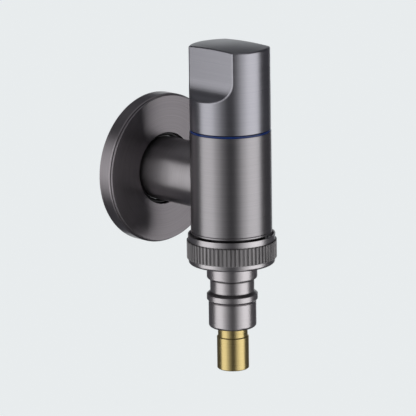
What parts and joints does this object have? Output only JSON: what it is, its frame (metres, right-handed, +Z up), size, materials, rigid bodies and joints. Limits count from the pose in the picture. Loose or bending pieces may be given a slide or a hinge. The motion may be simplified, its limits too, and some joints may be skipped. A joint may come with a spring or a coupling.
{
  "type": "wall tap with hose nozzle",
  "caption": "Wall-mounted washing-machine tap in brushed gunmetal with a quarter-turn handle, knurled union nut, hose nozzle and sprung brass stop plunger.",
  "frame": {"origin": "where the arm's axis meets the wall plane, on the axis of the inlet thread", "axes": "+Y along the inlet thread into the wall, +Z up along the upright body, the tap stands out along -Y"},
  "size_m": [0.055, 0.0689, 0.1196],
  "materials": {
    "gunmetal": "dark gunmetal plating on brass, brushed",
    "raw_brass": "turned, unplated",
    "blue_plastic": "glossy, deep blue",
    "black_rubber": "smooth black rubber",
    "white_plastic": "moulded, white",
    "ceramic": "white alumina ceramic, lapped",
    "steel": "stainless steel, plain"
  },
  "bodies": {
    "tap": {"tap_body": "gunmetal", "indicator_ring": "blue_plastic", "headwork_housing": "raw_brass", "headwork_gasket": "black_rubber", "seat_seal": "black_rubber", "fixed_disc": "ceramic"},
    "handle": {"handle": "gunmetal", "handle_screw": "steel", "spline_bush": "white_plastic", "spindle": "raw_brass", "spindle_o_ring_upper": "black_rubber", "spindle_o_ring_lower": "black_rubber", "slip_washer": "white_plastic", "spindle_circlip": "steel", "moving_disc": "ceramic"},
    "nozzle": {"nozzle": "gunmetal", "nozzle_sleeve": "gunmetal", "union_gasket": "black_rubber", "filter_screen": "steel", "plunger_spring": "steel", "spring_stop": "steel", "snap_ring": "steel"},
    "union_nut": {"union_nut": "gunmetal"},
    "plunger": {"plunger": "raw_brass", "plunger_seal": "black_rubber"},
    "flange": {"wall_flange": "gunmetal", "flange_o_ring": "black_rubber"}
  },
  "joints": [
    {"name": "handle_turn", "type": "hinge", "parent": "tap", "child": "handle", "pos_m": [0, -0.03965, 0.03], "axis": [0, 0, 1], "range_deg": [0, 90]},
    {"name": "union_slide", "type": "slide", "parent": "tap", "child": "nozzle", "axis": [0, 0, -1], "range_m": [0, 0.0042]},
    {"name": "union_turn", "type": "hinge", "parent": "nozzle", "child": "union_nut", "pos_m": [0, -0.03965, -0.025], "axis": [0, 0, -1], "range_deg": [0, 833]},
    {"name": "plunger_push", "type": "slide", "parent": "nozzle", "child": "plunger", "axis": [0, 0, 1], "range_m": [0, 0.003], "stiffness_N_per_m": 400, "springref_m": -0.004, "deforming": ["plunger_spring"]},
    {"name": "flange_slide", "type": "slide", "parent": "tap", "child": "flange", "axis": [0, -1, 0], "range_m": [0, 0.0165]}
  ],
  "couplings": [
    {"joint": "union_slide", "follows": "union_turn", "m_per_rad": 0.00028875}
  ]
}
